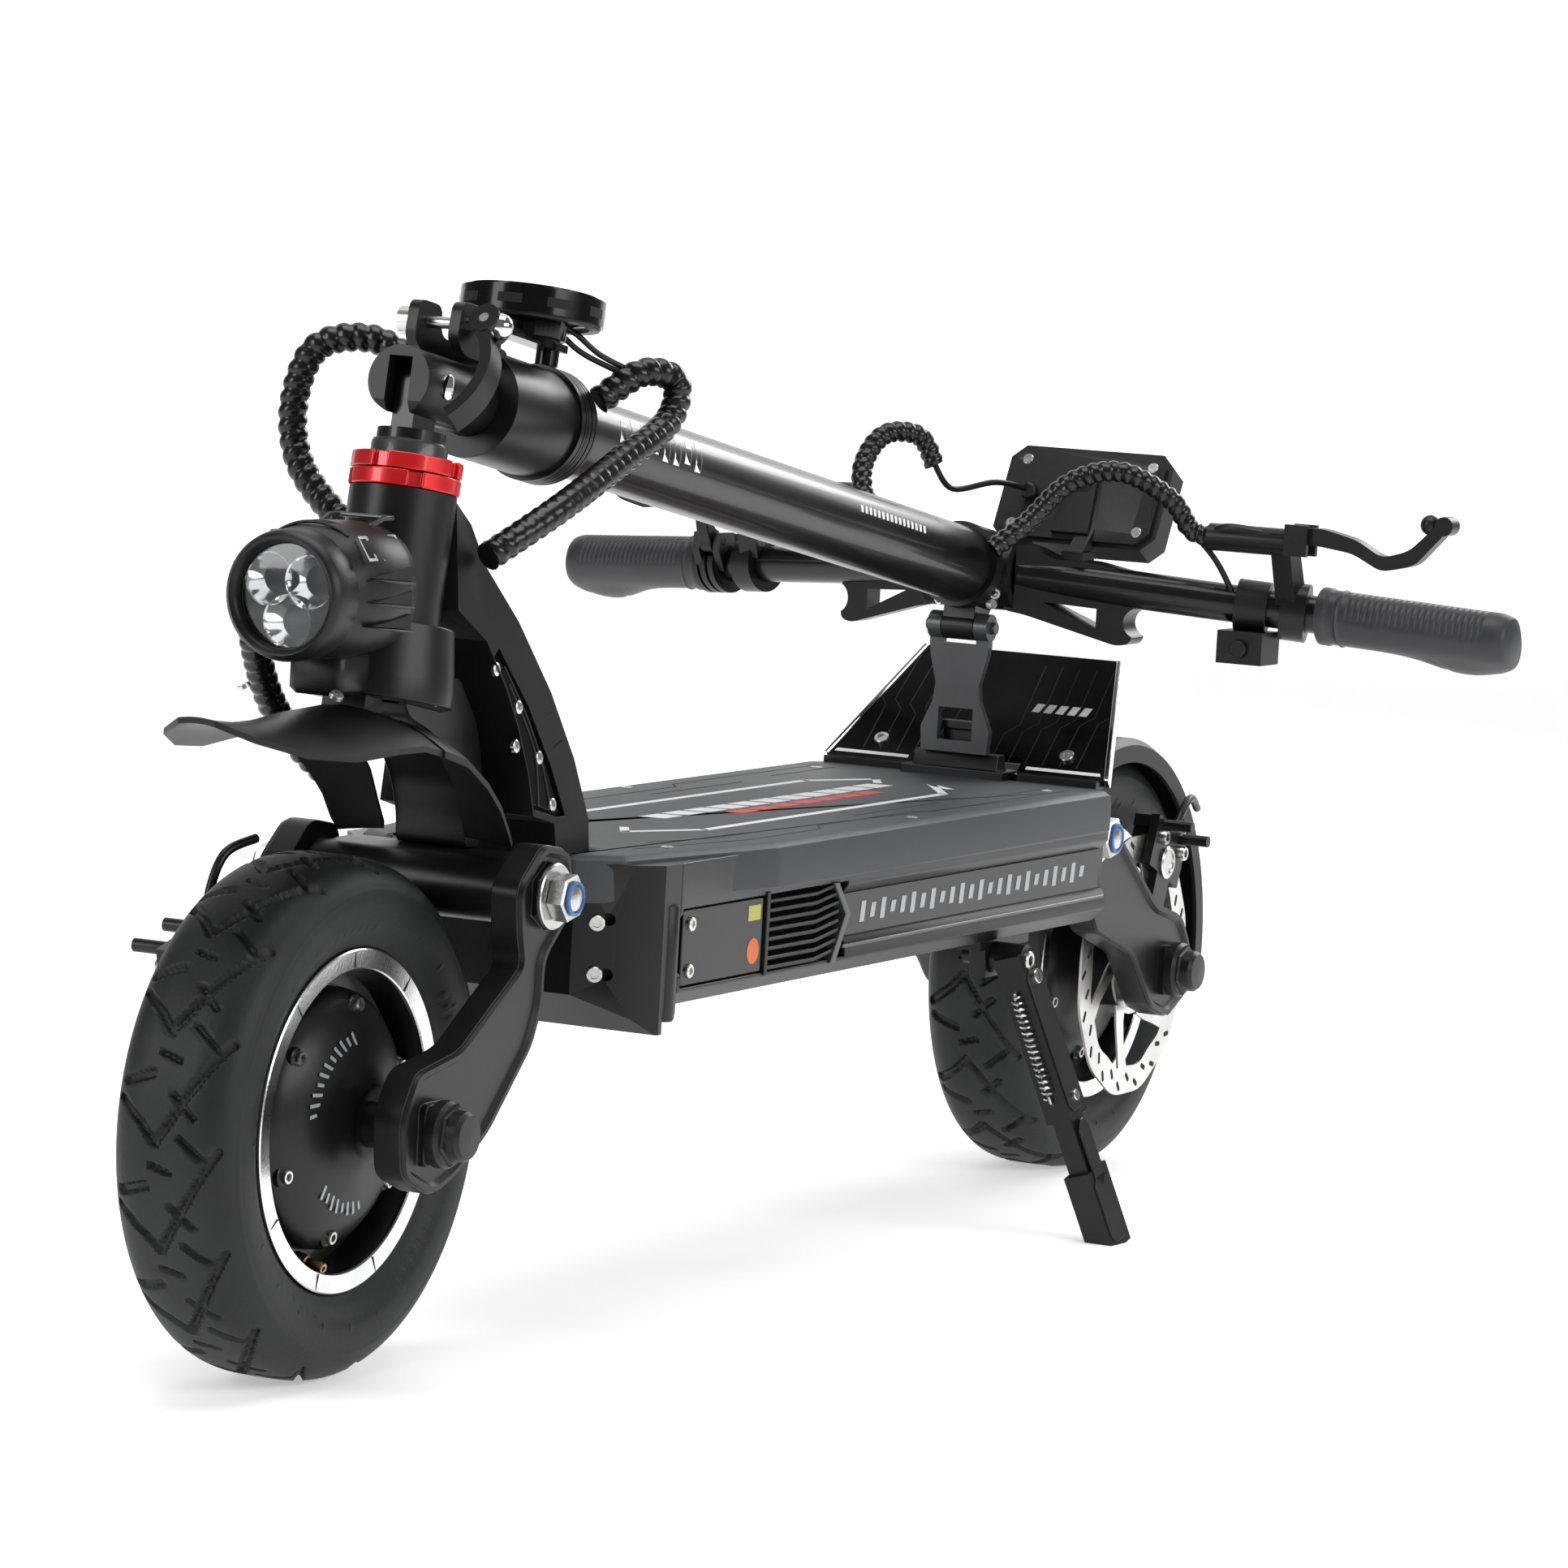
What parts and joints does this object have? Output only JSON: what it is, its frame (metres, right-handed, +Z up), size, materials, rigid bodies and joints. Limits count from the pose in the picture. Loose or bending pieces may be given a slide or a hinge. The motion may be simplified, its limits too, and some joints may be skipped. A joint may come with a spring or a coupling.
{
  "type": "electric kick scooter",
  "caption": "Folding electric kick scooter with hub-motor wheels on swing arms, stem folded back over the deck, arched neck, kick plate, kickstand and disc brakes.",
  "frame": {"origin": "on the floor under the middle of the wheelbase, in the scooter's centre plane", "axes": "+X forward, +Y to the rider's left, +Z up"},
  "size_m": [1.16, 0.6204, 0.5319],
  "materials": {
    "satin_black": "satin powder coat",
    "gloss_black": "gloss",
    "gloss_panel": "gloss",
    "black_plastic": "fine moulded texture",
    "deck_grip": "matt silicone",
    "tyre": "matt",
    "steel": "brushed",
    "machined_rim": "machined lip, painted well",
    "polished": "polished",
    "red_rings": "red anodised",
    "lens": "clear",
    "grip_rubber": "matt",
    "strap_grey": "satin",
    "loom": "spiral wrapped, gloss"
  },
  "bodies": {
    "chassis": {"deck_frame": "satin_black", "nose_block": "satin_black", "deck_mat": "deck_grip", "side_windows": "gloss_panel", "side_vents": "black_plastic", "gooseneck": "satin_black", "neck_panels": "gloss_panel", "kick_plate": "gloss_panel", "kick_trim": "polished", "latch_base": "satin_black", "rear_mount": "satin_black", "kickstand_bracket": "satin_black", "neck_looms": "loom"},
    "fork": {"steerer": "gloss_black", "lock_rings": "red_rings", "fork_crown": "satin_black", "front_cartridge": "satin_black", "front_fender": "black_plastic", "headlight_body": "satin_black", "headlight_lens": "lens", "fork_loom": "loom"},
    "front_arms": {"front_arm_left": "satin_black", "front_arm_right": "satin_black", "front_shafts": "steel", "front_caliper": "satin_black"},
    "front_wheel": {"front_tyre": "tyre", "front_rim": "machined_rim", "front_motor": "gloss_black", "front_rotor": "steel"},
    "rear_arms": {"rear_arm_left": "satin_black", "rear_arm_right": "satin_black", "rear_shafts": "steel", "rear_caliper": "satin_black", "rear_fender": "black_plastic"},
    "rear_wheel": {"rear_tyre": "tyre", "rear_rim": "machined_rim", "rear_motor": "gloss_black", "rear_rotor": "steel"},
    "stand": {"kickstand_leg": "satin_black"},
    "stem": {"fold_barrel": "satin_black", "joint_pins": "steel", "lock_collar": "satin_black", "stem_tube": "gloss_black", "horn": "gloss_panel", "bar_clamp": "satin_black", "handlebar": "gloss_black", "grip_left": "grip_rubber", "grip_right": "grip_rubber", "lever_body_left": "satin_black", "lever_body_right": "satin_black", "switch_box": "black_plastic", "throttle_body": "black_plastic", "display": "black_plastic", "bar_looms": "loom"},
    "release": {"quick_lever": "satin_black"},
    "strap": {"latch_strap": "strap_grey"},
    "lever_l": {"brake_lever_left": "satin_black"},
    "lever_r": {"brake_lever_right": "satin_black"},
    "trigger": {"throttle_trigger": "black_plastic"},
    "button": {"horn_button": "black_plastic"}
  },
  "joints": [
    {"name": "steer", "type": "hinge", "parent": "chassis", "child": "fork", "pos_m": [0.3704, 0, 0.48], "axis": [-0.1736, 0, 0.9848], "range_deg": [-35, 35], "deforming": ["neck_looms"]},
    {"name": "fold", "type": "hinge", "parent": "fork", "child": "stem", "pos_m": [0.3704, 0, 0.48], "axis": [0, 1, 0], "range_deg": [0, 89.5], "deforming": ["neck_looms"]},
    {"name": "front_suspension", "type": "hinge", "parent": "fork", "child": "front_arms", "pos_m": [0.347, 0, 0.234], "axis": [0, -1, 0], "range_deg": [0, 12], "stiffness_Nm_per_rad": 120, "springref_deg": -9.57},
    {"name": "rear_suspension", "type": "hinge", "parent": "chassis", "child": "rear_arms", "pos_m": [-0.32, 0, 0.217], "axis": [0, 1, 0], "range_deg": [0, 10], "stiffness_Nm_per_rad": 120, "springref_deg": -11.46},
    {"name": "front_wheel_spin", "type": "hinge", "parent": "front_arms", "child": "front_wheel", "pos_m": [0.448, 0, 0.1275], "axis": [0, 1, 0], "continuous": true},
    {"name": "rear_wheel_spin", "type": "hinge", "parent": "rear_arms", "child": "rear_wheel", "pos_m": [-0.448, 0, 0.1275], "axis": [0, 1, 0], "continuous": true},
    {"name": "kickstand_fold", "type": "hinge", "parent": "chassis", "child": "stand", "pos_m": [-0.168, 0, 0.16], "axis": [0, 1, 0], "range_deg": [0, 76]},
    {"name": "quick_release", "type": "hinge", "parent": "stem", "child": "release", "pos_m": [0.34704, 0.025, 0.51056], "axis": [0.8141, 0, 0.5807], "range_deg": [0, 90]},
    {"name": "strap_swing", "type": "hinge", "parent": "stem", "child": "strap", "pos_m": [-0.2815, 0, 0.336], "axis": [0, -1, 0], "range_deg": [0, 60]},
    {"name": "left_brake", "type": "hinge", "parent": "stem", "child": "lever_l", "pos_m": [-0.31648, 0.194, 0.40064], "axis": [-1, 0, 0], "range_deg": [0, 18], "stiffness_Nm_per_rad": 0.6, "springref_deg": -17.19},
    {"name": "right_brake", "type": "hinge", "parent": "stem", "child": "lever_r", "pos_m": [-0.31075, -0.172, 0.40222], "axis": [1, 0, 0], "range_deg": [0, 18], "stiffness_Nm_per_rad": 0.6, "springref_deg": -17.19},
    {"name": "throttle", "type": "hinge", "parent": "stem", "child": "trigger", "pos_m": [-0.32505, -0.19, 0.37022], "axis": [0, 1, 0], "range_deg": [0, 25], "stiffness_Nm_per_rad": 0.1, "springref_deg": -17.19},
    {"name": "horn_press", "type": "slide", "parent": "stem", "child": "button", "axis": [-1, 0, 0], "range_m": [0, 0.0015], "stiffness_N_per_m": 400, "springref_m": -0.0005}
  ]
}
